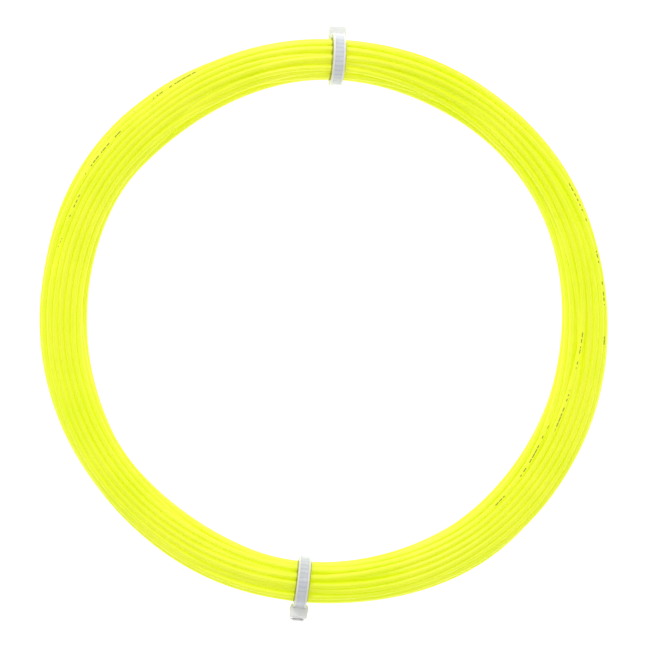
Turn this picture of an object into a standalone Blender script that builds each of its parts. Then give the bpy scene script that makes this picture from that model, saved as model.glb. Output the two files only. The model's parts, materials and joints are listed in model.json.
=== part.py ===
"""A tied coil of racket string: one string wound into a ring, held by two nylon cable ties.

The coil lies flat on z = 0 with its axis along Z, and each tie's head stands on its outer rim.
A tie is one moulding. Its locking pawl is a separate object because it flexes inside the head.
Inside a tie's own mesh, X points away from the coil's axis, Y along the string and Z up, and the
origin is the centre of the bundle that the tie holds, on the axis that the tie turns about.
"""

import math

import bmesh
import bpy
from mathutils import Matrix, Vector

MM = 0.001

# The string and its winding.
STRING_LENGTH = 12200 * MM
STRING_DIAMETER = 1.25 * MM
TURNS = 35
TIED_PACKING = 0.775
LOOSE_PACKING = 0.73
RING_RADIUS = STRING_LENGTH / (2 * math.pi * TURNS)
NECK_RADIUS = STRING_DIAMETER * math.sqrt(TURNS / TIED_PACKING) / 2

# How the loose bundle wanders between the ties: angle in degrees, its width as a multiple of
# the width at a tie, and how far its centre lies outside the ring's mean radius.
LOOSE_BUNDLE = (
    (0, 1.14, -0.55 * MM),
    (30, 1.04, 0.10 * MM),
    (55, 1.08, -0.25 * MM),
    (108, 1.10, -0.50 * MM),
    (128, 1.25, -0.20 * MM),
    (146, 1.21, 0.65 * MM),
    (170, 1.16, -0.10 * MM),
    (192, 1.19, 0.05 * MM),
    (213, 1.06, -0.45 * MM),
    (236, 1.13, -0.70 * MM),
    (284, 1.12, -0.10 * MM),
    (306, 1.24, 0.45 * MM),
    (325, 1.27, 0.15 * MM),
    (343, 1.22, -0.30 * MM),
)
TIED_OFFSET = -0.4 * MM
SWELL_LENGTH = 22 * MM
SETTLE_LENGTH = 40 * MM
FLAT_DEPTH = 0.25 * MM

# The cable ties.
STRAP_WIDTH = 2.6 * MM
STRAP_THICKNESS = 1.0 * MM
STRAP_FLARE = 0.5 * MM
FLARE_LENGTH = 3.0 * MM
STRAP_CHAMFER = 0.18 * MM
RAIL_WIDTH = 0.4 * MM
TOOTH_PITCH = 0.9 * MM
TOOTH_TOP_DEPTH = 0.1 * MM
TOOTH_ROOT_DEPTH = 0.4 * MM
TOOTH_RISE = 0.12
PAWL_RAMP = 0.65
SMOOTH_LENGTH = 6.0 * MM
TAIL_BEND_RADIUS = 1.5 * MM
TAIL_STUB = 0.35 * MM

HEAD_DEPTH = 2.9 * MM
HEAD_TAPER = 0.4 * MM
HEAD_WALL = 0.75 * MM
HEAD_SIDE_WALL = 0.58 * MM
HEAD_BEVEL = 0.22 * MM
HEAD_STAND_OFF = 0.1 * MM

PAWL_THICKNESS = 0.56 * MM
PAWL_TEETH = 2
PAWL_LIFT = math.radians(12)
PAWL_WALL = 0.3 * MM

STRAP_GAP = 0.3 * MM
SLOT_GAP = 0.12 * MM
PAWL_GAP = 0.12 * MM
PAWL_SIDE_GAP = 0.15 * MM
PAWL_TOOTH_GAP = 0.06 * MM
FLOOR_GAP = 0.03 * MM
NECK_MARGIN = 1.5 * MM

# Where each tie sits round the ring, how far its loop is skewed in the ring's plane, how far it
# leans along the string, and how far it is turned about the bundle.
TIES = {
    "upper_tie": {
        "angle": math.radians(87.4),
        "skew": math.radians(-0.4),
        "lean": math.radians(6),
        "turn": math.radians(-8),
    },
    "lower_tie": {
        "angle": math.radians(265.0),
        "skew": math.radians(-1.8),
        "lean": math.radians(-2.5),
        "turn": math.radians(18),
    },
}

# Sizes that follow from the ones above.
STRAP_INNER_RADIUS = NECK_RADIUS + STRAP_GAP
STRAP_RADIUS = STRAP_INNER_RADIUS + STRAP_THICKNESS / 2
LEAN_ROOM = STRAP_WIDTH / 2 * math.sin(max(abs(tie["lean"]) for tie in TIES.values()))
TIED_HEIGHT = STRAP_INNER_RADIUS + STRAP_THICKNESS + LEAN_ROOM + FLOOR_GAP
HEAD_WIDTH = STRAP_WIDTH + 2 * (SLOT_GAP + HEAD_SIDE_WALL)
NECK_HALF_LENGTH = HEAD_WIDTH / 2 + NECK_MARGIN
STRING_SECTION = math.pi * STRING_DIAMETER**2 / 4
LOOSE_SECTION = TURNS * STRING_SECTION / LOOSE_PACKING
HEAD_INNER = STRAP_INNER_RADIUS + HEAD_STAND_OFF
TAIL_BEND_REACH = STRAP_RADIUS + TAIL_BEND_RADIUS
SLOT_HEIGHT = TAIL_BEND_RADIUS - math.sqrt(TAIL_BEND_REACH**2 - HEAD_INNER**2)
SLOT_HALF = STRAP_THICKNESS / 2 + SLOT_GAP
PAWL_WIDTH = STRAP_WIDTH - 2 * (RAIL_WIDTH + PAWL_SIDE_GAP)
PAWL_TOOTH_HEIGHT = TOOTH_ROOT_DEPTH - TOOTH_TOP_DEPTH - PAWL_TOOTH_GAP
PAWL_ROOT_RADIUS = PAWL_THICKNESS / 2
PAWL_HINGE_DEPTH = PAWL_WALL + PAWL_GAP + PAWL_ROOT_RADIUS
PAWL_REACH = HEAD_DEPTH - PAWL_GAP - PAWL_HINGE_DEPTH
PAWL_BASE = STRAP_THICKNESS / 2 - TOOTH_TOP_DEPTH + PAWL_GAP
PAWL_HINGE_HEIGHT = PAWL_BASE + PAWL_ROOT_RADIUS
POCKET_TOP = PAWL_BASE + PAWL_THICKNESS + PAWL_REACH * math.sin(PAWL_LIFT) + PAWL_GAP
HEAD_TOP = SLOT_HEIGHT + POCKET_TOP + HEAD_WALL
HEAD_BOTTOM = SLOT_HEIGHT - SLOT_HALF - HEAD_WALL
STRAP_ROOT = HEAD_TOP - HEAD_WALL * 2 / 3

RING_STEP = math.radians(3)
SECTION_POINTS = 24
ARC_STEP = math.radians(6)
PAWL_ROOT_STEPS = 6
SHARP_ANGLE = math.radians(35)


def clear_scene():
    for item in list(bpy.data.objects):
        bpy.data.objects.remove(item, do_unlink=True)


def make_material(name, colour, roughness, alpha=1.0):
    material = bpy.data.materials.new(name)
    material.use_nodes = True
    shader = material.node_tree.nodes["Principled BSDF"]
    shader.inputs["Base Color"].default_value = (*colour, 1.0)
    shader.inputs["Roughness"].default_value = roughness
    shader.inputs["Metallic"].default_value = 0.0
    shader.inputs["Alpha"].default_value = alpha
    return material


def add_object(name, mesh, material=None):
    item = bpy.data.objects.new(name, mesh)
    bpy.context.scene.collection.objects.link(item)
    if material:
        mesh.materials.append(material)
        mesh.shade_smooth()
        mesh.set_sharp_from_angle(angle=SHARP_ANGLE)
    return item


def mesh_from(name, points, faces):
    """A mesh whose faces are turned to point outwards."""
    shape = bmesh.new()
    corners = [shape.verts.new(point) for point in points]
    for face in faces:
        shape.faces.new([corners[index] for index in face])
    bmesh.ops.recalc_face_normals(shape, faces=shape.faces)
    mesh = bpy.data.meshes.new(name)
    shape.to_mesh(mesh)
    shape.free()
    return mesh


def joined_sections(name, sections, closed):
    """A skin over sections of equal length, either closed into a ring or capped at its ends."""
    count = len(sections[0])
    points = [point for section in sections for point in section]
    faces = []
    for row in range(len(sections) if closed else len(sections) - 1):
        here = row * count
        there = (row + 1) % len(sections) * count
        for column in range(count):
            beside = (column + 1) % count
            faces.append((here + column, here + beside, there + beside, there + column))
    if not closed:
        faces.append(tuple(range(count)))
        faces.append(tuple(range(len(points) - count, len(points))))
    return mesh_from(name, points, faces)


def extruded(name, outline, half_width):
    """The outline (X, Z), extruded along Y to both sides."""
    sections = [[(x, side, z) for x, z in outline] for side in (-half_width, half_width)]
    return joined_sections(name, sections, closed=False)


def eased(share):
    share = min(max(share, 0.0), 1.0)
    return share * share * (3 - 2 * share)


def loose_bundle(angle):
    """The loose bundle's width ratio and radial offset at an angle, on a smooth closed curve."""
    degrees = math.degrees(angle) % 360
    count = len(LOOSE_BUNDLE)
    at = max(index for index in range(count) if LOOSE_BUNDLE[index][0] <= degrees)

    def station(index):
        turns, place = divmod(index, count)
        return LOOSE_BUNDLE[place][0] + 360 * turns, *LOOSE_BUNDLE[place][1:]

    before, low, high, after = (station(at + shift) for shift in (-1, 0, 1, 2))
    span = high[0] - low[0]
    share = (degrees - low[0]) / span
    values = []
    for item in (1, 2):
        leave = (high[item] - before[item]) / (high[0] - before[0]) * span
        arrive = (after[item] - low[item]) / (after[0] - low[0]) * span
        rise = high[item] - low[item]
        cubic = (leave + arrive - 2 * rise) * share + 3 * rise - 2 * leave - arrive
        values.append(low[item] + share * (leave + share * cubic))
    return values


def distance_to_tie(angle):
    """The arc length along the ring to the nearer tie."""
    turn = 2 * math.pi
    gaps = [abs((angle - tie["angle"] + math.pi) % turn - math.pi) for tie in TIES.values()]
    return min(gaps) * RING_RADIUS


def bundle_section(angle):
    """The points round the bundle at one angle: round at a tie, wide and flat-bottomed between."""
    past_neck = distance_to_tie(angle) - NECK_HALF_LENGTH
    loose = eased(past_neck / SWELL_LENGTH)
    settled = eased(past_neck / SETTLE_LENGTH)
    ratio, offset = loose_bundle(angle)
    half_width = NECK_RADIUS * (1 + (ratio - 1) * loose)
    loose_half_height = LOOSE_SECTION / (math.pi * NECK_RADIUS * ratio)
    half_height = NECK_RADIUS + (loose_half_height - NECK_RADIUS) * loose
    radius = RING_RADIUS + TIED_OFFSET + (offset - TIED_OFFSET) * loose
    resting_height = half_height - FLAT_DEPTH
    height = TIED_HEIGHT + (resting_height - TIED_HEIGHT) * settled
    points = []
    for index in range(SECTION_POINTS):
        around = 2 * math.pi * index / SECTION_POINTS
        out = radius + half_width * math.cos(around)
        up = max(height + half_height * math.sin(around), 0.0)
        points.append((out * math.cos(angle), out * math.sin(angle), up))
    return points


def ring_angles():
    """Evenly spaced angles round the ring, with one exactly at each tie."""
    stops = sorted(tie["angle"] for tie in TIES.values())
    angles = []
    for start, end in zip(stops, [*stops[1:], stops[0] + 2 * math.pi]):
        count = round((end - start) / RING_STEP)
        angles += [start + (end - start) * index / count for index in range(count)]
    return angles


def make_coil(material):
    sections = [bundle_section(angle) for angle in ring_angles()]
    return add_object("string_coil", joined_sections("string_coil", sections, closed=True), material)


def strap_route():
    """The strap's centreline as (length so far, bend, place) pieces, from its root in the head,
    round the bundle and out through the slot, and its whole length."""
    leave_angle = 2 * math.pi - math.acos(HEAD_INNER / TAIL_BEND_REACH)
    tail_turn = leave_angle + math.pi / 2 - 2 * math.pi
    pieces = (
        (-STRAP_ROOT, 0.0),
        (STRAP_RADIUS * leave_angle, 1 / STRAP_RADIUS),
        (TAIL_BEND_RADIUS * tail_turn, -1 / TAIL_BEND_RADIUS),
        (HEAD_DEPTH + TAIL_STUB, 0.0),
    )
    route = []
    length = 0.0
    place = (STRAP_RADIUS, STRAP_ROOT, math.pi / 2)
    for run, bend in pieces:
        route.append((length, bend, place))
        place = moved_along(place, run, bend)
        length += run
    return route, length


def moved_along(place, distance, bend):
    """A place (X, Z, heading) carried forward along a line, or along an arc of the given bend."""
    x, z, heading = place
    if bend == 0.0:
        return x + distance * math.cos(heading), z + distance * math.sin(heading), heading
    turned = heading + distance * bend
    x += (math.sin(turned) - math.sin(heading)) / bend
    z -= (math.cos(turned) - math.cos(heading)) / bend
    return x, z, turned


def strap_place(route, distance):
    """The point and heading on the strap's centreline at a distance from its root."""
    start, bend, place = [piece for piece in route if piece[0] <= distance][-1]
    return moved_along(place, distance - start, bend)


def strap_stations(route, length):
    """Distances along the strap, each with the depth of the toothed track there. The teeth are
    counted back from the slot's mouth, so that they meet the pawl's teeth."""
    slot_mouth = length - HEAD_DEPTH - TAIL_STUB
    first_tooth = slot_mouth - TOOTH_PITCH * math.floor((slot_mouth - SMOOTH_LENGTH) / TOOTH_PITCH)
    stations = []
    smooth_steps = math.ceil(first_tooth / (STRAP_RADIUS * ARC_STEP))
    for index in range(smooth_steps):
        stations.append((first_tooth * index / smooth_steps, TOOTH_TOP_DEPTH))
    tooth = first_tooth
    while tooth < length - TOOTH_PITCH / 2:
        stations.append((tooth, TOOTH_ROOT_DEPTH))
        stations.append((tooth + TOOTH_RISE * TOOTH_PITCH, TOOTH_TOP_DEPTH))
        stations.append((tooth + TOOTH_PITCH / 2, (TOOTH_ROOT_DEPTH + TOOTH_TOP_DEPTH) / 2))
        tooth += TOOTH_PITCH
    stations.append((length, TOOTH_ROOT_DEPTH))
    return stations


def strap_section(distance, depth, route):
    """One cross-section of the strap: plain outside, with a toothed track between two rails inside."""
    x, z, heading = strap_place(route, distance)
    inward = (-math.sin(heading), math.cos(heading))
    half = (STRAP_WIDTH + STRAP_FLARE * (1 - eased(distance / FLARE_LENGTH))) / 2
    track = STRAP_WIDTH / 2 - RAIL_WIDTH
    face = STRAP_THICKNESS / 2
    outline = [
        (-half, STRAP_CHAMFER - face),
        (STRAP_CHAMFER - half, -face),
        (half - STRAP_CHAMFER, -face),
        (half, STRAP_CHAMFER - face),
        (half, face),
        (track, face),
        (track, face - depth),
        (-track, face - depth),
        (-track, face),
        (-half, face),
    ]
    return [(x + inward[0] * lift, across, z + inward[1] * lift) for across, lift in outline]


def make_strap(name):
    route, length = strap_route()
    sections = [strap_section(at, depth, route) for at, depth in strap_stations(route, length)]
    return joined_sections(name, sections, closed=False)


def make_head(name):
    """The head's block, narrower towards its outer face, with rounded edges."""
    sections = []
    for x, width in ((0.0, HEAD_WIDTH), (HEAD_DEPTH, HEAD_WIDTH - HEAD_TAPER)):
        corners = ((-1, HEAD_BOTTOM), (1, HEAD_BOTTOM), (1, HEAD_TOP), (-1, HEAD_TOP))
        sections.append([(HEAD_INNER + x, side * width / 2, z) for side, z in corners])
    mesh = joined_sections(name, sections, closed=False)
    shape = bmesh.new()
    shape.from_mesh(mesh)
    bmesh.ops.bevel(
        shape, geom=shape.edges[:], offset=HEAD_BEVEL, segments=2, profile=0.5, affect="EDGES"
    )
    shape.to_mesh(mesh)
    shape.free()
    return mesh


def box_mesh(name, low, high):
    outline = [(low[0], low[2]), (high[0], low[2]), (high[0], high[2]), (low[0], high[2])]
    mesh = extruded(name, outline, (high[1] - low[1]) / 2)
    mesh.transform(Matrix.Translation((0.0, (high[1] + low[1]) / 2, 0.0)))
    return mesh


def slot_cutter(name):
    """The way that the strap takes through the head, open at both ends."""
    half = STRAP_WIDTH / 2 + SLOT_GAP
    low = (HEAD_INNER - HEAD_WALL, -half, SLOT_HEIGHT - SLOT_HALF)
    high = (HEAD_INNER + HEAD_DEPTH + HEAD_WALL, half, SLOT_HEIGHT + SLOT_HALF)
    return box_mesh(name, low, high)


def pocket_cutter(name):
    """The room above the strap in which the pawl lifts, open at the head's outer face."""
    half = PAWL_WIDTH / 2 + PAWL_GAP
    low = (HEAD_INNER + PAWL_WALL, -half, SLOT_HEIGHT)
    high = (HEAD_INNER + HEAD_DEPTH + HEAD_WALL, half, SLOT_HEIGHT + POCKET_TOP)
    return box_mesh(name, low, high)


def add_helper(name, mesh, owner, operation):
    """A hidden shape that one Boolean joins to its owner or cuts from it."""
    helper = add_object(name, mesh)
    helper.parent = owner
    helper.hide_render = True
    helper.display_type = "WIRE"
    modifier = owner.modifiers.new(name, "BOOLEAN")
    modifier.operation = operation
    modifier.solver = "EXACT"
    modifier.object = helper


def make_tie(name, place, material):
    tie = add_object(name, make_head(name), material)
    angle = place["angle"]
    centre_radius = RING_RADIUS + TIED_OFFSET
    centre = Vector((centre_radius * math.cos(angle), centre_radius * math.sin(angle), TIED_HEIGHT))
    tie.matrix_world = (
        Matrix.Translation(centre)
        @ Matrix.Rotation(angle + place["skew"], 4, "Z")
        @ Matrix.Rotation(place["lean"], 4, "X")
        @ Matrix.Rotation(-place["turn"], 4, "Y")
    )
    add_helper(name + ".slot", slot_cutter(name + ".slot"), tie, "DIFFERENCE")
    add_helper(name + ".pocket", pocket_cutter(name + ".pocket"), tie, "DIFFERENCE")
    add_helper(name + ".strap", make_strap(name + ".strap"), tie, "UNION")
    return tie


def pawl_outline():
    """The pawl's side view about its hinge: a round root, a tongue and teeth that face the strap."""
    top = PAWL_ROOT_RADIUS
    bottom = -PAWL_ROOT_RADIUS
    outline = []
    for index in range(PAWL_ROOT_STEPS + 1):
        around = math.pi / 2 + math.pi * index / PAWL_ROOT_STEPS
        outline.append((PAWL_ROOT_RADIUS * math.cos(around), PAWL_ROOT_RADIUS * math.sin(around)))
    last_tooth = math.floor((HEAD_DEPTH - PAWL_GAP) / TOOTH_PITCH)
    for tooth in range(last_tooth - PAWL_TEETH + 1, last_tooth + 1):
        catch = tooth * TOOTH_PITCH - PAWL_GAP - PAWL_HINGE_DEPTH
        ramp = catch - PAWL_RAMP * TOOTH_PITCH
        if ramp > 0:
            outline.append((ramp, bottom))
        outline.append((catch - PAWL_GAP / 2, bottom - PAWL_TOOTH_HEIGHT))
        outline.append((catch, bottom))
    tip = outline[-1][0]
    outline.append((tip, top - PAWL_GAP))
    outline.append((tip - PAWL_GAP, top))
    return outline


def make_pawl(name, tie, material):
    """The pawl, hung at its hinge inside the head of its tie."""
    pawl = add_object(name, extruded(name, pawl_outline(), PAWL_WIDTH / 2), material)
    pawl.parent = tie
    pawl.location = (HEAD_INNER + PAWL_HINGE_DEPTH, 0.0, SLOT_HEIGHT + PAWL_HINGE_HEIGHT)
    return pawl


def main():
    clear_scene()
    string = make_material("string", (0.80, 1.0, 0.02), 0.35)
    nylon = make_material("tie_nylon", (0.80, 0.80, 0.86), 0.3, alpha=0.6)
    make_coil(string)
    for name, place in TIES.items():
        tie = make_tie(name, place, nylon)
        make_pawl(name + "_pawl", tie, nylon)
    bpy.context.view_layer.update()


if __name__ == "__main__":
    main()
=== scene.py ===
"""The looks of a tied coil of racket string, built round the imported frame.

One cord, 12.2 m long, is wound 35 times round the ring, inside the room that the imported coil
takes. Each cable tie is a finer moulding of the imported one, with its locking pawl apart.
All sizes are in metres, in the frame's own axes: the coil's axis is Z and it lies on z = 0.
"""

import json
import math

import bmesh
import bpy
import numpy as np
from bpy.props import FloatProperty, FloatVectorProperty, IntProperty, PointerProperty
from bpy.types import Operator, Panel, PropertyGroup
from mathutils import Matrix, Vector


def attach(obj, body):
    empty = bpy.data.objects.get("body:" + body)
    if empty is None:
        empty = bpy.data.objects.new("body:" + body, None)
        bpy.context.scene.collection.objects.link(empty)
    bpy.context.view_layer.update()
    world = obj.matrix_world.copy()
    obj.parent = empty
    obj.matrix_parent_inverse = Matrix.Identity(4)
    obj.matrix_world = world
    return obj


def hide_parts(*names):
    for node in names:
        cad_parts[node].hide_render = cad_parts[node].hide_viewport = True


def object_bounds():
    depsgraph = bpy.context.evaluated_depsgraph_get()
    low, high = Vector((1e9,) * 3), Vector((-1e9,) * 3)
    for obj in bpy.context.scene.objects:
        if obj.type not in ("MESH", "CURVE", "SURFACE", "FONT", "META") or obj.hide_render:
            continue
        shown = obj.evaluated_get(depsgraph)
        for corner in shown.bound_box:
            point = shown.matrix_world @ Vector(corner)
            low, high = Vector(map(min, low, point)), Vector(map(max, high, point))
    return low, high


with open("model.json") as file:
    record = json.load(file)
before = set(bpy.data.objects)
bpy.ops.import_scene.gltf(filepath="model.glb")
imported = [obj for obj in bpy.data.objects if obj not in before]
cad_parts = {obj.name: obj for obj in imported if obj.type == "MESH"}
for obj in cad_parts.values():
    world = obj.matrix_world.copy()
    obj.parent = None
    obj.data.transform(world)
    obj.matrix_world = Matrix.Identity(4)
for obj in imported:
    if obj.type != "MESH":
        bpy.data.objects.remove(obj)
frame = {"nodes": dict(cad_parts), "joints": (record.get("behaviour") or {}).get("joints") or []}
cad_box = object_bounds()

bl_info = {
    "name": "Tied String Coil",
    "version": (1, 0, 0),
    "blender": (4, 5, 0),
    "location": "3D View > Sidebar > String Coil",
    "description": "Winds a racket string into a ring and holds it with two cable ties",
    "category": "Object",
}

MM = 0.001
TURN = 2 * math.pi
JOINTS = {joint["name"]: joint for joint in frame["joints"]}
STRING_NODE = "string_coil"
STRING_BODY = "coil"
TIES = {
    "upper_tie": ("upper_tie_body", "upper_pawl_body", "upper_tie_swivel", "upper_pawl_flex"),
    "lower_tie": ("lower_tie_body", "lower_pawl_body", "lower_tie_swivel", "lower_pawl_flex"),
}
# Painted light and shade: the upper tie's colour is raised a little and the lower tie's lowered,
# as if one were lit and the other shaded.
PAINTED_TIE_LIGHT = {"upper_tie": 1.03, "lower_tie": 0.95}
NYLON = "natural_nylon"
GRAIN = "Plastic Grain"


# ---- Sizes and colours that a user would change ----


def distance(name, description, default):
    return FloatProperty(
        name=name, description=description, default=default, min=0.0, unit="LENGTH", precision=5
    )


def share(name, description, default, kind=FloatProperty, **settings):
    settings = {"min": 0.0, "max": 1.0, "subtype": "FACTOR", **settings}
    return kind(name=name, description=description, default=default, **settings)


def colour(*words):
    return share(*words, kind=FloatVectorProperty, size=3, subtype="COLOR")


class StringSettings(PropertyGroup):
    length: distance("Length", "The whole string, from end to end", 12.2)
    diameter: distance("Diameter", "The string's thickness", 1.25 * MM)
    turns: IntProperty(name="Turns", description="Turns round the ring", default=35, min=7, max=80)
    wander: share("Wander", "How far a turn strays from its place in the bundle", 0.22)
    ease: distance("Ease", "How far strands bulge out of the packed coil", 0.14 * MM)
    seed: IntProperty(name="Seed", description="Which winding of all that are alike", default=11)
    colour: colour("Colour", "The string's colour", (0.64, 0.69, 0.013))
    # The dye's fluorescence, given as an even glow that also lifts the string's shade as painted
    # light.
    painted_glow: share("Glow", "How strongly the dye fluoresces, a glow that also lifts the string's shade as painted light", 0.40)
    ink: colour("Ink", "The colour of the dashes printed along the string", (0.27, 0.33, 0.006))


class TieSettings(PropertyGroup):
    strap_width: distance("Strap width", "Across the strap", 2.6 * MM)
    strap_thickness: distance("Strap thickness", "Through the strap's rails", 1.0 * MM)
    tooth_pitch: distance("Tooth pitch", "From one tooth to the next", 0.9 * MM)
    head_depth: distance("Head depth", "How far the head stands out", 2.9 * MM)
    head_bevel: distance("Head edge", "The rounding of the head's edges", 0.24 * MM)
    colour: colour("Colour", "The colour of the thin strap", (0.69, 0.72, 0.765))
    thick_colour: colour("Thick colour", "The colour where the nylon is thick", (0.80, 0.81, 0.80))


class StageSettings(PropertyGroup):
    picture_width: distance("Picture width", "How much the camera sees", 136.8 * MM)
    lens: FloatProperty(name="Lens", description="In millimetres", default=100.0, min=10.0)
    light: FloatProperty(name="Light", description="The lamps' strength", default=1.0, min=0.0)
    floor: colour("Floor", "The floor's colour", (0.93, 0.93, 0.93))


# ---- Node trees ----


class Nodes:
    """A node tree and short ways to fill it."""

    def __init__(self, tree):
        self.tree = tree

    def add(self, kind, inputs=None, **settings):
        """A node with its settings, and each named input set to a value or linked to a socket."""
        node = self.tree.nodes.new(kind)
        for name, value in settings.items():
            setattr(node, name, value)
        for name, value in (inputs or {}).items():
            self.fill(node.inputs[name], value)
        return node

    def fill(self, socket, value):
        """Links a socket to the value where that is a socket too, and otherwise sets it."""
        if isinstance(value, bpy.types.NodeSocket):
            self.tree.links.new(value, socket)
        else:
            socket.default_value = value

    def made(self, kind, inputs=None, **settings):
        """The first output of such a node."""
        return self.add(kind, inputs, **settings).outputs[0]

    def maths(self, operation, *values):
        return self.made("ShaderNodeMath", dict(enumerate(values)), operation=operation)

    def vector(self, operation, *values, output="Vector"):
        node = self.add("ShaderNodeVectorMath", dict(enumerate(values)), operation=operation)
        return node.outputs[output]

    def blend(self, factor, first, second):
        node = self.add("ShaderNodeMix", data_type="RGBA", clamp_factor=True)
        for index, value in ((0, factor), (6, first), (7, second)):
            self.fill(node.inputs[index], (*value, 1.0) if isinstance(value, tuple) else value)
        return node.outputs[2]

    def spread(self, value, low, high, to_low=0.0, to_high=1.0):
        """The value's range from low to high, smoothly carried over to another range."""
        ends = {"From Min": low, "From Max": high, "To Min": to_low, "To Max": to_high}
        return self.made(
            "ShaderNodeMapRange", {"Value": value, **ends}, interpolation_type="SMOOTHSTEP"
        )


def new_group(name, kind, *sockets):
    """A node group with sockets (name, type, default): None for an output, "" for no default."""
    tree = bpy.data.node_groups.new(name, kind)
    for label, value_type, default in sockets:
        where = "OUTPUT" if default is None else "INPUT"
        socket_type = "NodeSocket" + value_type
        socket = tree.interface.new_socket(label, in_out=where, socket_type=socket_type)
        if default is not None and default != "":
            socket.default_value = default
    nodes = Nodes(tree)
    return nodes, nodes.add("NodeGroupInput").outputs, nodes.add("NodeGroupOutput").inputs


def finish_tree(nodes, shape, material, output):
    """The end of every geometry tree: its instances made real, and its material set."""
    shape = nodes.made("GeometryNodeRealizeInstances", {"Geometry": shape})
    shape = nodes.made("GeometryNodeSetMaterial", {"Geometry": shape, "Material": material})
    nodes.fill(output, shape)


def grain_group(name):
    """Moulded or drawn plastic's uneven finish: a slow mottle, and a fine grain for a bump."""
    nodes, given, made = new_group(
        name,
        "ShaderNodeTree",
        ("Vector", "Vector", ""),
        ("Mottle Size", "Float", 6 * MM),
        ("Grain Size", "Float", 0.15 * MM),
        ("Seed", "Float", 0.0),
        ("Mottle", "Float", None),
        ("Grain", "Float", None),
    )
    for size, detail, output in (("Mottle Size", 3.0, "Mottle"), ("Grain Size", 2.0, "Grain")):
        inputs = {"Vector": given["Vector"], "W": given["Seed"], "Detail": detail}
        inputs.update({"Scale": nodes.maths("DIVIDE", 1.0, given[size]), "Roughness": 0.55})
        noise = nodes.made("ShaderNodeTexNoise", inputs, noise_dimensions="4D")
        nodes.fill(made[output], nodes.spread(noise, 0.3, 0.7))
    return nodes.tree


# The share of cells with no mark, a mark's shortest length and what may be added to it, as shares
# of a cell, and the printed share of a run.
BLANK_CELLS = 0.22
SHORTEST_MARK = 0.30
MARK_SPREAD = 0.65
PRINTED_RUN = 0.72


def dash_group(name):
    """Marks in uneven lengths along a string: 1 on a mark, from the distance along the string."""
    nodes, given, made = new_group(
        name,
        "ShaderNodeTree",
        ("Along", "Float", 0.0),
        ("Cell", "Float", 1.15 * MM),
        ("Run", "Float", 17 * MM),
        ("Mark", "Float", None),
    )

    def chance(cells, seed):
        shifted = nodes.maths("ADD", cells, seed)
        return nodes.made("ShaderNodeTexWhiteNoise", {"W": shifted}, noise_dimensions="1D")

    place = nodes.maths("DIVIDE", given["Along"], given["Cell"])
    cell = nodes.maths("FLOOR", place)
    within = nodes.maths("FRACT", place)
    printed = nodes.maths("GREATER_THAN", chance(cell, 0.5), BLANK_CELLS)
    reach = nodes.maths("MULTIPLY_ADD", chance(cell, 7.5), MARK_SPREAD, SHORTEST_MARK)
    short = nodes.maths("LESS_THAN", within, reach)
    run = nodes.maths("FRACT", nodes.maths("DIVIDE", given["Along"], given["Run"]))
    in_run = nodes.maths("LESS_THAN", run, PRINTED_RUN)
    mark = nodes.maths("MULTIPLY", nodes.maths("MULTIPLY", printed, short), in_run)
    nodes.fill(made["Mark"], mark)
    return nodes.tree


# Past a strap's edge: where the painted shadow on the string is gone, and where it is still full.
STRAP_SHADE = (0.28 * MM, 0.08 * MM)


def strap_painted_shadow_group(name):
    """A painted shadow that a tie's strap casts on the string, under the strap and just past its
    edges: 1 there, 0 elsewhere.
    """
    nodes, given, made = new_group(
        name,
        "ShaderNodeTree",
        ("Place", "Vector", ""),
        ("Centre", "Vector", ""),
        ("Axis", "Vector", ""),
        ("Half Width", "Float", 1.3 * MM),
        ("Reach", "Float", 8 * MM),
        ("Cover", "Float", None),
    )
    apart = nodes.vector("SUBTRACT", given["Place"], given["Centre"])
    along = nodes.vector("DOT_PRODUCT", apart, given["Axis"], output="Value")
    past = nodes.maths("SUBTRACT", nodes.maths("ABSOLUTE", along), given["Half Width"])
    near = nodes.maths("LESS_THAN", nodes.vector("LENGTH", apart, output="Value"), given["Reach"])
    painted_shadow = nodes.maths("MULTIPLY", nodes.spread(past, *STRAP_SHADE), near)
    nodes.fill(made["Cover"], painted_shadow)
    return nodes.tree


def new_material(name):
    material = bpy.data.materials.new(name)
    material.use_nodes = True
    nodes = Nodes(material.node_tree)
    shader = material.node_tree.nodes["Principled BSDF"]
    return material, nodes, shader


def attribute(nodes, name):
    return nodes.add("ShaderNodeAttribute", attribute_name=name).outputs["Fac"]


def built(name, build):
    """The node group of this name, built the first time that it is needed."""
    return bpy.data.node_groups.get(name) or build(name)


def placed_group(nodes, name, build, **inputs):
    inputs = {label.replace("_", " "): value for label, value in inputs.items()}
    return nodes.add("ShaderNodeGroup", inputs, node_tree=built(name, build)).outputs


def tinted(base, shares):
    return tuple(min(value * share, 1.0) for value, share in zip(base, shares))


GRAIN_DEPTH = 0.02 * MM


def grained_surface(nodes, shader, grain, roughness, bump):
    """A shader's roughness, within the given limits, and its fine bump, from the same grain."""
    nodes.fill(shader.inputs["Roughness"], nodes.spread(grain, 0.0, 1.0, *roughness))
    raised = {"Height": grain, "Strength": bump, "Distance": GRAIN_DEPTH}
    nodes.fill(shader.inputs["Normal"], nodes.made("ShaderNodeBump", raised))


# Shares of the string's colour where the dye is deeper and paler, the painted shadow colour under
# and beside each tie's strap, and the limits between which the printed side fades away.
DEEPER_DYE = (0.95, 0.99, 0.7)
PALER_DYE = (1.03, 1.01, 2.2)
PAINTED_STRAP_SHADOW = (0.34, 0.34, 0.012)
PRINT_EDGE = (0.955, 0.985)


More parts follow.
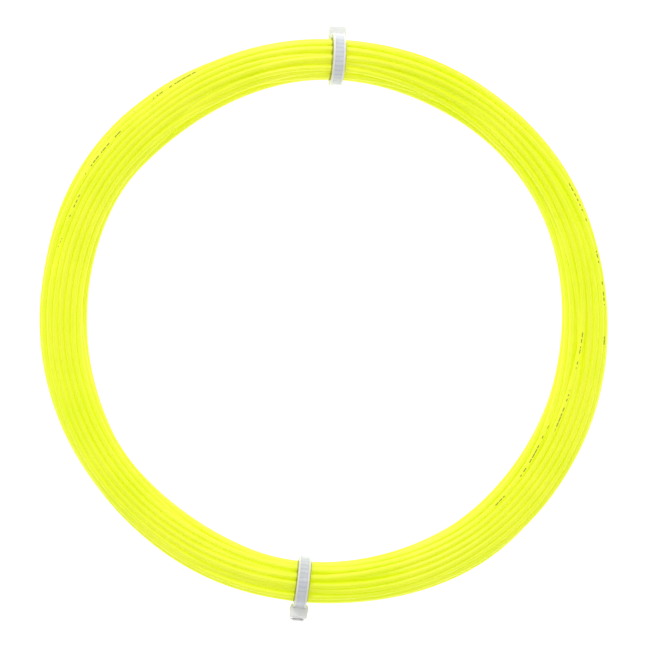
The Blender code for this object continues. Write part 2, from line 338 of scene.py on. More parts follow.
def string_material(settings):
    """Bright dyed monofilament: glossy, faintly fluorescent, with dashes printed down one side.

    Its glow is an even emission for the fluorescence that also lifts its shade as painted light,
    and beside each tie's strap it carries a painted shadow of that strap.
    """
    material, nodes, shader = new_material("fluorescent_string")
    along = attribute(nodes, "along")
    facing = attribute(nodes, "facing")
    object_place = nodes.add("ShaderNodeTexCoord").outputs["Object"]
    sizes = {"Mottle_Size": 16 * MM, "Grain_Size": 0.5 * MM, "Seed": 1.0}
    grain = placed_group(nodes, GRAIN, grain_group, Vector=object_place, **sizes)
    deeper = tinted(settings.colour, DEEPER_DYE)
    dye_and_strap_shadow = nodes.blend(grain["Mottle"], deeper, tinted(settings.colour, PALER_DYE))
    # Each tie's strap paints its shadow on the string's colour, and so on its glow too.
    for _, _, swivel, _ in TIES.values():
        painted_shadow = placed_group(
            nodes,
            "Strap Cover",
            strap_painted_shadow_group,
            Place=object_place,
            Centre=tuple(JOINTS[swivel]["pos_m"]),
            Axis=tuple(JOINTS[swivel]["axis"]),
        )["Cover"]
        dye_and_strap_shadow = nodes.blend(painted_shadow, dye_and_strap_shadow, PAINTED_STRAP_SHADOW)
    side = nodes.spread(facing, *PRINT_EDGE)
    dashes = placed_group(nodes, "Printed Dashes", dash_group, Along=along)["Mark"]
    mark = nodes.maths("MULTIPLY", side, dashes)
    nodes.fill(shader.inputs["Base Color"], nodes.blend(mark, dye_and_strap_shadow, tuple(settings.ink)))
    # The glow takes the string's colour: it stands for the fluorescence, and it also lifts the
    # shade between strands as painted light.
    nodes.fill(shader.inputs["Emission Color"], nodes.blend(mark, dye_and_strap_shadow, (0.0, 0.0, 0.0)))
    grained_surface(nodes, shader, grain["Grain"], roughness=(0.30, 0.42), bump=0.12)
    shader.inputs["Emission Strength"].default_value = settings.painted_glow
    shader.inputs["IOR"].default_value = 1.5
    shader.inputs["Subsurface Weight"].default_value = 0.7
    shader.inputs["Subsurface Radius"].default_value = (1.0, 1.0, 0.25)
    shader.inputs["Subsurface Scale"].default_value = settings.diameter
    return material


# Shares of the strap's half width where the track ends and the painted shadow on the outer edge
# begins, shares of the pitch where a tooth's band begins, and the place where the teeth begin.
TRACK_SIDE = (0.72, 0.64)
OUTER_EDGE = (0.93, 0.99)
TOOTH_BAND = (0.28, 0.46)
TEETH_BEGIN = (5.5 * MM, 6.5 * MM)
RAIL_COLOUR = (0.80, 0.81, 0.74)
# Painted shadow along the strap's outer edges, olive with the string's yellow, where the strap
# meets the coil.
PAINTED_EDGE_SHADOW = (0.48, 0.48, 0.30)
BAND_SHARE = 0.80
MOTTLE_SHARE = 0.93


def nylon_material(settings):
    """Milky natural nylon: the thin strap is greyer, and its teeth show through it as bands.

    A painted shadow darkens its outer edges, and each tie's colour is scaled by painted light.
    """
    material, nodes, shader = new_material(NYLON)
    along = attribute(nodes, "along")
    across = attribute(nodes, "across")
    shade = attribute(nodes, "shade")
    thick = attribute(nodes, "thick")
    object_place = nodes.add("ShaderNodeTexCoord").outputs["Object"]
    sizes = {"Mottle_Size": 1.6 * MM, "Grain_Size": 0.12 * MM, "Seed": 4.0}
    grain = placed_group(nodes, GRAIN, grain_group, Vector=object_place, **sizes)
    thin = tuple(settings.colour)
    pitch = nodes.maths("DIVIDE", along, settings.tooth_pitch)
    wave = nodes.maths("ABSOLUTE", nodes.maths("SUBTRACT", nodes.maths("FRACT", pitch), 0.5))
    tooth = nodes.spread(wave, *TOOTH_BAND)
    toothed = nodes.spread(along, *TEETH_BEGIN)
    inside_track = nodes.spread(across, *TRACK_SIDE)
    band = nodes.maths("MULTIPLY", nodes.maths("MULTIPLY", tooth, toothed), inside_track)
    middle = nodes.blend(grain["Mottle"], tinted(thin, [MOTTLE_SHARE] * 3), thin)
    band = nodes.maths("MULTIPLY", band, 0.8)
    middle = nodes.blend(band, middle, tinted(thin, [BAND_SHARE] * 3))
    # The rails, darkening to a painted shadow at the strap's outer edge.
    rail = nodes.blend(nodes.spread(across, *OUTER_EDGE), RAIL_COLOUR, PAINTED_EDGE_SHADOW)
    strap = nodes.blend(inside_track, rail, middle)
    moulded = nodes.blend(thick, strap, tuple(settings.thick_colour))
    # Painted light: each tie's whole colour made a little lighter or darker.
    moulded = nodes.vector("MULTIPLY", moulded, shade)
    nodes.fill(shader.inputs["Base Color"], moulded)
    grained_surface(nodes, shader, grain["Grain"], roughness=(0.18, 0.30), bump=0.15)
    shader.inputs["IOR"].default_value = 1.53
    shader.inputs["Subsurface Weight"].default_value = 0.35
    shader.inputs["Subsurface Radius"].default_value = (1.0, 1.0, 1.0)
    shader.inputs["Subsurface Scale"].default_value = 0.6 * MM
    return material


# ---- The string's winding ----


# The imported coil's points stand in rings: a step in angle past this begins the next one.
STATION_STEP = math.radians(0.5)
COARSE_SLICES = 48
FINER = 3
PACKED_ROUNDS = 110
POLISH_ROUNDS = 36
PUSHES_A_ROUND = 6
LONGEST_PUSH = 0.3
# The shortest bend that the string keeps, in slices: while it is packed, and when it is polished.
STRAIGHT_COARSE = 8.0
STRAIGHT_FINE = 16.0
# The turns between one stray of the string from its place and the next.
WANDER_REACH = 0.17
# The share of the room that round strands fill, and how far their spacing may differ from that.
PACKED_SHARE = 0.79
SPACING_LIMITS = (0.99, 1.05)


def coil_room(slices, start):
    """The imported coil's room at evenly spaced angles: its middle and half sizes, out and up."""
    mesh = frame["nodes"][STRING_NODE].data
    place = np.empty(len(mesh.vertices) * 3)
    mesh.vertices.foreach_get("co", place)
    place = place.reshape(-1, 3)
    angle = np.arctan2(place[:, 1], place[:, 0]) % TURN
    order = np.argsort(angle)
    breaks = np.flatnonzero(np.diff(angle[order]) > STATION_STEP) + 1
    stations, rooms = [], []
    for group in np.split(order, breaks):
        out = np.hypot(place[group, 0], place[group, 1])
        up = place[group, 2]
        stations.append(angle[group].mean())
        rooms.append([out.min() + out.max(), up.min() + up.max(), np.ptp(out), np.ptp(up)])
    wanted = (start + TURN * np.arange(slices) / slices) % TURN
    rooms = np.array(rooms) / 2
    values = [np.interp(wanted, stations, column, period=TURN) for column in rooms.T]
    return np.stack(values[:2], axis=1), np.stack(values[2:], axis=1)


def onion_places(turns):
    """Places in a unit disc for each turn and one more, filled from the middle outwards."""
    rings = [1]
    while sum(rings) < turns + 1:
        rings.append(min(6 * len(rings), turns + 1 - sum(rings)))
    places = []
    for ring, many in enumerate(rings):
        for step in range(many):
            around = TURN * (step + 0.5) / many - TURN / 4
            radius = ring / (len(rings) - 1)
            places.append((radius * math.cos(around), radius * math.sin(around)))
    return np.array(places)


def between(values, place):
    """A smooth curve through evenly spaced values, read at places counted in values."""
    at = np.clip(place.astype(int), 0, len(values) - 1)
    part = (place - at)[:, None]
    before, low, high, after = (
        values[np.clip(at + shift, 0, len(values) - 1)] for shift in (-1, 0, 1, 2)
    )
    curve = 2 * low + (high - before) * part
    curve += (2 * before - 5 * low + 4 * high - after) * part**2
    curve += (3 * low - before - 3 * high + after) * part**3
    return curve / 2


def pushed_apart(places, spacing):
    """Strands in each slice, moved half of what they lack to stand a spacing from each other."""
    apart = places[:, :, None, :] - places[:, None, :, :]
    gap = np.sqrt((apart**2).sum(-1)) + 1e-9
    short = np.maximum(spacing[:, None, None] - gap, 0.0)
    own = np.arange(places.shape[1])
    short[:, own, own] = 0.0
    move = (apart * (short / gap)[..., None]).sum(2) / 2
    longest = LONGEST_PUSH * spacing.max()
    return places + np.clip(move, -longest, longest)


def kept_inside(places, middle, half, lowest):
    """Strands brought back into each slice's ellipse, and up off the surface that they lie on."""
    reach = (places - middle[:, None]) / half[:, None]
    length = np.maximum(np.sqrt((reach**2).sum(-1, keepdims=True)), 1.0)
    places = middle[:, None] + reach / length * half[:, None]
    places[..., 1] = np.maximum(places[..., 1], lowest)
    return places


def straightened(places, reach):
    """The string's own stiffness: bends shorter than the reach, in slices, are evened out."""
    slices, turns, _ = places.shape
    track = places.transpose(1, 0, 2).reshape(-1, 2)
    pad = slices
    head = 2 * track[0] - track[pad:0:-1]
    tail = 2 * track[-1] - track[-2 : -pad - 2 : -1]
    line = np.concatenate([head, track, tail])
    pitch = np.fft.rfftfreq(len(line))[:, None]
    waves = np.fft.rfft(line, axis=0) / (1 + (pitch * reach) ** 4)
    line = np.fft.irfft(waves, n=len(line), axis=0)
    return line[pad : pad + len(track)].reshape(turns, slices, 2).transpose(1, 0, 2)


def settled(places, middle, half, spacing, lowest, rounds, reach):
    for _ in range(rounds):
        for _ in range(PUSHES_A_ROUND):
            places = pushed_apart(places, spacing)
            places = kept_inside(places, middle, half, lowest)
        places = straightened(places, reach)
    return kept_inside(places, middle, half, lowest)


def wound_string(settings, start):
    """The string's centreline, from the end in the bundle's heart to the end underneath, with
    each turn's places: (slices, turns, out and up)."""
    turns = settings.turns
    radius = settings.diameter / 2
    random = np.random.default_rng(settings.seed)
    count = turns * COARSE_SLICES
    along = np.arange(count) / COARSE_SLICES
    wander = random.normal(0.0, settings.wander, (int(turns / WANDER_REACH) + 6, 2))
    unit = between(onion_places(turns), along) + between(wander, along / WANDER_REACH + 1)
    places = unit.reshape(turns, COARSE_SLICES, 2).transpose(1, 0, 2)
    middle, half = coil_room(COARSE_SLICES, start)
    room = half + settings.ease - radius
    places = middle[:, None] + places * room[:, None]
    area = math.pi * (room + radius).prod(axis=1)
    filled = turns * math.pi * radius**2 / area
    spacing = settings.diameter * np.clip(np.sqrt(PACKED_SHARE / filled), *SPACING_LIMITS)
    places = settled(places, middle, room, spacing, radius, PACKED_ROUNDS, STRAIGHT_COARSE)
    track = places.transpose(1, 0, 2).reshape(-1, 2)
    slices = COARSE_SLICES * FINER
    track = between(track, np.arange(count * FINER) / FINER)
    places = track.reshape(turns, slices, 2).transpose(1, 0, 2)
    middle, half = coil_room(slices, start)
    spacing = np.interp(
        np.arange(slices) / FINER, np.arange(COARSE_SLICES), spacing, period=COARSE_SLICES
    )
    return settled(
        places, middle, half + settings.ease - radius, spacing, radius, POLISH_ROUNDS, STRAIGHT_FINE
    )


# Where the string happens to lie with its printed side up: from and to, in degrees round the
# ring, and how far out in the bundle, from -1 at its inner rim to 1 at its outer one.
PRINT_SHOWS = (
    (117, 131, 0.78),
    (132, 151, 0.52),
    (153, 163, 0.35),
    (-5, 35, 0.90),
    (-26, -3, -0.42),
    (-48, -27, -0.66),
)
PRINT_FADE = math.radians(7)
# How much higher a strand must lie to be chosen over one nearer to the wanted place.
HEIGHT_FOR_PLACE = 1.5


def eased(part):
    """A smooth rise from 0 to 1 as the part goes from 0 to 1."""
    part = np.clip(part, 0.0, 1.0)
    return part * part * (3 - 2 * part)


def printed_side(places, middle, half, start):
    """How far the printed side has rolled from straight up, for each slice and turn."""
    slices, turns, _ = places.shape
    angle = start + TURN * np.arange(slices) / slices
    roll = np.full((slices, turns), math.pi)
    for low, high, out in PRINT_SHOWS:
        low, high = math.radians(low), math.radians(high)
        centre = (low + high) / 2
        away = (angle - centre + math.pi) % TURN - math.pi
        at = int(np.abs(away).argmin())
        offset = np.abs(places[at, :, 0] - middle[at, 0] - out * half[at, 0])
        chosen = int((places[at, :, 1] - HEIGHT_FOR_PLACE * offset).argmax())
        shown = eased(((high - low) / 2 + PRINT_FADE - np.abs(away)) / PRINT_FADE)
        roll[:, chosen] = np.minimum(roll[:, chosen], math.pi * (1 - shown))
    return roll


STRING_SIDES = 16


def sweep_tree(name):
    """Geometry nodes that sweep a round string along a path and note which way points face."""
    nodes, given, made = new_group(
        name,
        "GeometryNodeTree",
        ("Path", "Geometry", ""),
        ("Diameter", "Float", 1.25 * MM),
        ("Sides", "Int", STRING_SIDES),
        ("Material", "Material", ""),
        ("String", "Geometry", None),
    )

    def named(name):
        inputs = {"Name": name}
        return nodes.made("GeometryNodeInputNamedAttribute", inputs, data_type="FLOAT_VECTOR")

    def noted(shape, name, value, kind):
        inputs = {"Geometry": shape, "Name": name, "Value": value}
        return nodes.made("GeometryNodeStoreNamedAttribute", inputs, data_type=kind)

    curve = nodes.made("GeometryNodeMeshToCurve", {"Mesh": given["Path"]})
    place = nodes.made("GeometryNodeInputPosition")
    curve = noted(curve, "centre", place, "FLOAT_VECTOR")
    radius = nodes.maths("MULTIPLY", given["Diameter"], 0.5)
    inputs = {"Resolution": given["Sides"], "Radius": radius}
    profile = nodes.made("GeometryNodeCurvePrimitiveCircle", inputs)
    inputs = {"Curve": curve, "Profile Curve": profile, "Fill Caps": True}
    tube = nodes.made("GeometryNodeCurveToMesh", inputs)
    outwards = nodes.vector("NORMALIZE", nodes.vector("SUBTRACT", place, named("centre")))
    facing = nodes.vector("DOT_PRODUCT", outwards, named("print_side"), output="Value")
    tube = noted(tube, "facing", facing, "FLOAT")
    for name in ("centre", "print_side"):
        tube = nodes.made("GeometryNodeRemoveAttribute", {"Geometry": tube, "Name": name})
    tube = nodes.made("GeometryNodeSetShadeSmooth", {"Geometry": tube})
    finish_tree(nodes, tube, given["Material"], made["String"])
    return nodes.tree


# ---- Meshes ----


def linked(name, mesh):
    item = bpy.data.objects.new(name, mesh)
    bpy.context.scene.collection.objects.link(item)
    return item


def run_nodes(item, tree, **inputs):
    """Adds a tree to an object as a modifier, with its inputs set by name."""
    modifier = item.modifiers.new(tree.name, "NODES")
    modifier.node_group = tree
    for socket in tree.interface.items_tree:
        if socket.in_out == "INPUT" and socket.name in inputs:
            modifier[socket.identifier] = inputs[socket.name]
    item.update_tag()


def made_plain(item):
    """Turns an object with modifiers into the plain mesh that they make."""
    bpy.context.view_layer.update()
    graph = bpy.context.evaluated_depsgraph_get()
    mesh = bpy.data.meshes.new_from_object(item.evaluated_get(graph), depsgraph=graph)
    item.modifiers.clear()
    old = item.data
    item.data = mesh
    bpy.data.meshes.remove(old)
    mesh.name = item.name


def write_attribute(mesh, name, values, kind="FLOAT"):
    layer = mesh.attributes.new(name, kind, "POINT")
    field = "vector" if kind == "FLOAT_VECTOR" else "value"
    layer.data.foreach_set(field, np.asarray(values, np.float32).ravel())


def path_mesh(name, points):
    mesh = bpy.data.meshes.new(name)
    edges = [(index, index + 1) for index in range(len(points) - 1)]
    mesh.from_pydata([tuple(point) for point in points], edges, [])
    return mesh


def lofted(name, sections):
    """A closed skin over sections of equal length, with its faces turned outwards."""
    count = len(sections[0])
    shape = bmesh.new()
    rows = [[shape.verts.new(point) for point in section] for section in sections]
    for here, there in zip(rows, rows[1:]):
        for column in range(count):
            beside = (column + 1) % count
            shape.faces.new((here[column], here[beside], there[beside], there[column]))
    shape.faces.new(rows[0])
    shape.faces.new(rows[-1])
    bmesh.ops.recalc_face_normals(shape, faces=shape.faces)
    mesh = bpy.data.meshes.new(name)
    shape.to_mesh(mesh)
    shape.free()
    return mesh


def rounded(corners, steps=3):
    """A closed outline whose corners (x, y, radius) are rounded."""
    outline = []
    count = len(corners)
    for index in range(count):
        corner = Vector(corners[index][:2])
        radius = corners[index][2]
        back = (Vector(corners[index - 1][:2]) - corner).normalized()
        ahead = (Vector(corners[(index + 1) % count][:2]) - corner).normalized()
        if radius == 0.0:
            outline.append(tuple(corner))
            continue
        for step in range(steps + 1):
            part = step / steps
            point = corner + back * radius * (1 - part) ** 2 + ahead * radius * part**2
            outline.append(tuple(point))
    return outline


def joined(item, other):
    """Adds another object's mesh to this one and removes that object."""
    with bpy.context.temp_override(
        active_object=item, object=item, selected_editable_objects=[item, other]
    ):
        bpy.ops.object.join()


# ---- The cable ties ----

RAIL_WIDTH = 0.42 * MM
RAIL_RISE = 0.06 * MM
STRAP_FLARE = 0.5 * MM
FLARE_LENGTH = 3.0 * MM
SMOOTH_LENGTH = 6.0 * MM
STRAP_STEPS = 150
TRACK_EDGE = 0.4 * MM
TRACK_STEP = 0.5 * MM
# Both ends of the strap are this much narrower on each side, and have this share of its height.
END_INSET = 0.06 * MM
END_HEIGHT = 0.9
TOOTH_TOP = 0.1 * MM
TOOTH_ROOT = 0.4 * MM
# How far a tooth is sunk into the track's sides and floor.
TOOTH_SIDE_SINK = 0.02 * MM
TOOTH_SINK = 0.03 * MM
POINTS_A_TOOTH = 4
STRAP_INNER_RADIUS = 4.5 * MM
TAIL_BEND_RADIUS = 1.5 * MM
TAIL_STUB = 0.35 * MM
HEAD_STAND_OFF = 0.1 * MM
HEAD_TAPER = 0.4 * MM
HEAD_WALL = 0.75 * MM
SHOULDER = 0.3 * MM
HEAD_SIDE_WALL = 0.58 * MM
BEVEL_STEPS = 5
SLOT_GAP = 0.12 * MM
PAWL_GAP = 0.12 * MM
PAWL_WALL = 0.3 * MM
PAWL_THICKNESS = 0.56 * MM
PAWL_LIFT = math.radians(12)
PAWL_SIDE_GAP = 0.15 * MM
PAWL_TOOTH_GAP = 0.06 * MM
PAWL_EDGE = 0.05 * MM
PAWL_RAMP = 0.65
PAWL_ROOT_STEPS = 8
MOUTH_FLARE = 0.1 * MM
# The strap's root is as milky as the head, and clears over this length.
MILKY_ROOT = 0.5 * MM
ROOT_CLEARS = 2.5 * MM
ROUTE_SAMPLES = 600
SHARP_ANGLE = math.radians(38)


class TiePlan:
    """The places in a tie that follow from its sizes. X points out from the coil's axis, Y along
    the string and Z up, from the centre of the bundle that the tie holds."""

    def __init__(self, sizes):
        self.sizes = sizes
        self.face = sizes.strap_thickness / 2
        self.strap_radius = STRAP_INNER_RADIUS + self.face
        self.head_inner = STRAP_INNER_RADIUS + HEAD_STAND_OFF
        self.head_outer = self.head_inner + sizes.head_depth
        reach = self.strap_radius + TAIL_BEND_RADIUS
        self.leave = TURN - math.acos(self.head_inner / reach)
        self.slot_height = TAIL_BEND_RADIUS - math.sqrt(reach**2 - self.head_inner**2)
        self.slot_half = self.face + SLOT_GAP
        self.head_width = sizes.strap_width + 2 * (SLOT_GAP + HEAD_SIDE_WALL)
        self.pawl_width = sizes.strap_width - 2 * (TRACK_EDGE + PAWL_SIDE_GAP)
        self.hinge_depth = PAWL_WALL + PAWL_GAP + PAWL_THICKNESS / 2
        base = self.face - TOOTH_TOP + PAWL_GAP
        self.hinge = Vector(
            (self.head_inner + self.hinge_depth, 0.0, self.slot_height + base + PAWL_THICKNESS / 2)
        )
        pawl_reach = sizes.head_depth - PAWL_GAP - self.hinge_depth
        self.pocket_top = base + PAWL_THICKNESS + pawl_reach * math.sin(PAWL_LIFT) + PAWL_GAP
        self.head_top = self.slot_height + self.pocket_top + HEAD_WALL
        self.head_bottom = self.slot_height - self.slot_half - HEAD_WALL
        self.root = self.head_top - HEAD_WALL * 2 / 3

    def route(self):
        """The strap's centreline as (length so far, bend, place) pieces, and its whole length."""
        pieces = (
            (-self.root, 0.0),
            (self.strap_radius * self.leave, 1 / self.strap_radius),
            (TAIL_BEND_RADIUS * (self.leave - TURN * 3 / 4), -1 / TAIL_BEND_RADIUS),
            (self.sizes.head_depth + TAIL_STUB, 0.0),
        )
        route, length, place = [], 0.0, (self.strap_radius, self.root, TURN / 4)
        for run, bend in pieces:
            route.append((length, bend, place))
            place = carried(place, run, bend)
            length += run
        return route, length


def carried(place, run, bend):
    """A place (X, Z, heading) carried forward along a line, or along an arc of the given bend."""
    x, z, heading = place
    if bend == 0.0:
        return x + run * math.cos(heading), z + run * math.sin(heading), heading
    turned = heading + run * bend
    x += (math.sin(turned) - math.sin(heading)) / bend
    z -= (math.cos(turned) - math.cos(heading)) / bend
    return x, z, turned


def on_route(route, run):
    start, bend, place = [piece for piece in route if piece[0] <= run + 1e-9][-1]
    return carried(place, run - start, bend)


def strap_outline(plan, half, track_depth):
    """A strap's cross-section as (across, inwards): rails on both faces, and the track inside."""
    face = plan.face
    rail = half - RAIL_WIDTH
    track = plan.sizes.strap_width / 2 - TRACK_EDGE
    corners = (
        (-half, -face, 0.2 * MM),
        (-rail, -face, 0.1 * MM),
        (-rail + 0.1 * MM, RAIL_RISE - face, 0.05 * MM),
        (rail - 0.1 * MM, RAIL_RISE - face, 0.05 * MM),
        (rail, -face, 0.1 * MM),
        (half, -face, 0.2 * MM),
        (half, face, 0.1 * MM),
        (track, face, 0.06 * MM),
        (track, face - track_depth, 0.04 * MM),
        (-track, face - track_depth, 0.04 * MM),
        (-track, face, 0.06 * MM),
        (-half, face, 0.1 * MM),
    )
    return rounded(corners)


def strap_mesh(name, plan):
    """The strap, swept from its root in the head, round the bundle and out through the slot."""
    route, length = plan.route()
    sections = []
    for step in range(STRAP_STEPS + 1):
        run = length * step / STRAP_STEPS
        x, z, heading = on_route(route, run)
        half = (plan.sizes.strap_width + STRAP_FLARE * (1 - eased(run / FLARE_LENGTH))) / 2
        sunk = eased((run - SMOOTH_LENGTH) / TRACK_STEP + 1)
        depth = TOOTH_TOP + (TOOTH_ROOT - TOOTH_TOP) * sunk
        at_end = step in (0, STRAP_STEPS)
        if at_end:
            half -= END_INSET
        section = []
        for side, lift in strap_outline(plan, half, depth):
            if at_end:
                lift *= END_HEIGHT
            section.append((x - math.sin(heading) * lift, side, z + math.cos(heading) * lift))
        sections.append(section)
    return lofted(name, sections)


def note_places(mesh, plan):
    """Writes on a tie's points the distance along the strap, the share of its half width, and
    where the nylon is thick: in the head, and a little way up the strap's root."""
    route, length = plan.route()
    runs = np.linspace(0.0, length, ROUTE_SAMPLES)
    line = np.array([on_route(route, run)[:2] for run in runs])
    place = np.empty(len(mesh.vertices) * 3)
    mesh.vertices.foreach_get("co", place)
    place = place.reshape(-1, 3)
    gap = np.linalg.norm(place[:, None, ::2] - line[None], axis=2)
    along = runs[gap.argmin(axis=1)]
    root = 1 - np.clip((along - MILKY_ROOT) / ROOT_CLEARS, 0.0, 1.0)
    in_head = gap.min(axis=1) > plan.face + END_INSET
    in_head |= along > length - plan.sizes.head_depth - TAIL_STUB
    write_attribute(mesh, "along", along)
    write_attribute(mesh, "across", np.abs(place[:, 1]) / (plan.sizes.strap_width / 2))
    write_attribute(mesh, "thick", np.maximum(in_head, root))


def teeth_tree(name):
    """Geometry nodes that stand one tooth at each pitch along the strap's track."""
    nodes, given, made = new_group(
        name,
        "GeometryNodeTree",
        ("Track", "Geometry", ""),
        ("Pitch", "Float", 0.9 * MM),
        ("Tooth", "Object", ""),
        ("Material", "Material", ""),
        ("Teeth", "Geometry", None),
    )
    curve = nodes.made("GeometryNodeMeshToCurve", {"Mesh": given["Track"]})
    curve = nodes.made(
        "GeometryNodeResampleCurve", {"Curve": curve, "Length": given["Pitch"]}, mode="LENGTH"
    )
    tangent = nodes.made("GeometryNodeInputTangent")
    turned = nodes.made(
        "FunctionNodeAxesToRotation",
        {"Primary Axis": tangent, "Secondary Axis": (0.0, 1.0, 0.0)},
        primary_axis="X",
        secondary_axis="Y",
    )
    tooth = nodes.add("GeometryNodeObjectInfo", {"Object": given["Tooth"]}).outputs["Geometry"]
    teeth = nodes.made(
        "GeometryNodeInstanceOnPoints", {"Points": curve, "Instance": tooth, "Rotation": turned}
    )
    finish_tree(nodes, teeth, given["Material"], made["Teeth"])
    return nodes.tree


def tooth_mesh(plan):
    """One tooth of the strap: steep on the side that the pawl catches, and a long ramp behind."""
    half = plan.sizes.strap_width / 2 - TRACK_EDGE + TOOTH_SIDE_SINK
    pitch = plan.sizes.tooth_pitch
    rise = TOOTH_ROOT - TOOTH_TOP
    outline = rounded(
        (
            (0.0, -TOOTH_SINK, 0.0),
            (0.12 * pitch, rise, 0.05 * MM),
            (0.30 * pitch, rise * 0.92, 0.06 * MM),
            (0.97 * pitch, -TOOTH_SINK, 0.0),
        ),
        steps=2,
    )
    sections = [[(x, side, z) for x, z in outline] for side in (-half, half)]
    return lofted("strap_tooth", sections)


def strap_teeth(plan, material):
    route, length = plan.route()
    mouth = length - plan.sizes.head_depth - TAIL_STUB
    pitch = plan.sizes.tooth_pitch
    first = mouth - pitch * math.floor((mouth - SMOOTH_LENGTH) / pitch)
    count = math.floor((length - first) / pitch)
    floor = plan.face - TOOTH_ROOT
    points = []
    for step in range((count - 1) * POINTS_A_TOOTH + 1):
        x, z, heading = on_route(route, first + step * pitch / POINTS_A_TOOTH)
        points.append((x - math.sin(heading) * floor, 0.0, z + math.cos(heading) * floor))
    teeth = linked("teeth", path_mesh("teeth", points))
    tooth = linked("tooth", tooth_mesh(plan))
    tree = built("Strap Teeth", teeth_tree)
    run_nodes(teeth, tree, Pitch=pitch, Tooth=tooth, Material=material)
    made_plain(teeth)
    bpy.data.objects.remove(tooth)
    return teeth


def rectangle(x, half, low, high):
    return [(x, -half, low), (x, half, low), (x, half, high), (x, -half, high)]


def head_mesh(name, plan):
    """The head's block, narrower towards its outer face, with rounded edges."""
    sections = []
    for x, width in (
        (plan.head_inner, plan.head_width - 2 * SHOULDER),
        (plan.head_inner + 2.5 * SHOULDER, plan.head_width),
        (plan.head_outer, plan.head_width - HEAD_TAPER),
    ):
        sections.append(rectangle(x, width / 2, plan.head_bottom, plan.head_top))
    mesh = lofted(name, sections)
    shape = bmesh.new()
    shape.from_mesh(mesh)
    bmesh.ops.bevel(
        shape,
        geom=shape.edges[:],
        offset=plan.sizes.head_bevel,
        segments=BEVEL_STEPS,
        profile=0.5,
        affect="EDGES",
    )
    shape.to_mesh(mesh)
    shape.free()
    return mesh


def opening_mesh(start, plan, half, low, high):
    """A rectangular way out through the head's outer face, with a flared mouth. Low and high are
    counted from the slot's middle."""
    outer = plan.head_outer
    sections = []
    for x, flare in (
        (start, 0.0),
        (outer - MOUTH_FLARE, 0.0),
        (outer + 0.02 * MM, MOUTH_FLARE),
        (outer + MOUTH_FLARE * 4, MOUTH_FLARE),
    ):
        middle = plan.slot_height
        sections.append(rectangle(x, half + flare, middle + low - flare, middle + high + flare))
    return lofted("opening", sections)


def combined(item, mesh, operation):
    """Joins a mesh to an object, or cuts it away, and applies the result."""
    helper = linked("helper", mesh)
    modifier = item.modifiers.new("shape", "BOOLEAN")
    modifier.operation = operation
    modifier.solver = "EXACT"
    modifier.object = helper
    made_plain(item)
    bpy.data.objects.remove(helper)


def tie_axes(swivel, flex, plan):
    """The tie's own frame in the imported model, from the axis that it turns about and the place
    of its pawl's hinge."""
    centre = Vector(JOINTS[swivel]["pos_m"])
    along = Vector(JOINTS[swivel]["axis"]).normalized()
    arm = Vector(JOINTS[flex]["pos_m"]) - centre
    arm -= along * arm.dot(along)
    out = (plan.hinge.x * arm + plan.hinge.z * along.cross(arm)).normalized()
    up = out.cross(along)
    return Matrix.Translation(centre) @ Matrix((out, along, up)).transposed().to_4x4()


def pawl_mesh(name, plan):
    """The locking pawl about its hinge: a round root, a tongue, and teeth that face the strap."""
    top = PAWL_THICKNESS / 2
    pitch = plan.sizes.tooth_pitch
    tooth_height = TOOTH_ROOT - TOOTH_TOP - PAWL_TOOTH_GAP
    outline = []
    for step in range(PAWL_ROOT_STEPS + 1):
        around = TURN / 4 + TURN / 2 * step / PAWL_ROOT_STEPS
        outline.append((top * math.cos(around), top * math.sin(around)))
    last = math.floor((plan.sizes.head_depth - PAWL_GAP) / pitch)
    for tooth in (last - 1, last):
        catch = tooth * pitch - PAWL_GAP - plan.hinge_depth
        ramp = catch - PAWL_RAMP * pitch
        if ramp > 0:
            outline.append((ramp, -top))
        outline.append((catch - PAWL_GAP / 2, -top - tooth_height))
        outline.append((catch, -top))
    tip = outline[-1][0]
    outline += [(tip, top - PAWL_GAP), (tip - PAWL_GAP, top)]
    half = plan.pawl_width / 2
    inner = half - PAWL_EDGE
    middle_x = tip / 2
    sections = []
    for side, inset in ((-half, PAWL_EDGE), (-inner, 0.0), (inner, 0.0), (half, PAWL_EDGE)):
        section = []
        for x, z in outline:
            pull = Vector((middle_x - x, -z))
            pull = pull.normalized() * inset if pull.length > 1e-9 else pull
            section.append((x + pull.x, side, z + pull.y))
        sections.append(section)
    mesh = lofted(name, sections)
    mesh.transform(Matrix.Translation(plan.hinge))
    return mesh


def smooth_finish(item, material):
    """One material, smooth shading up to the sharp edges, and flat faces that look flat."""
    mesh = item.data
    mesh.materials.clear()
    mesh.materials.append(material)
    mesh.polygons.foreach_set("material_index", [0] * len(mesh.polygons))
    mesh.shade_smooth()
    mesh.set_sharp_from_angle(angle=SHARP_ANGLE)
    weighted = item.modifiers.new("flat faces", "WEIGHTED_NORMAL")
    weighted.keep_sharp = True
    made_plain(item)


# ---- Operators ----


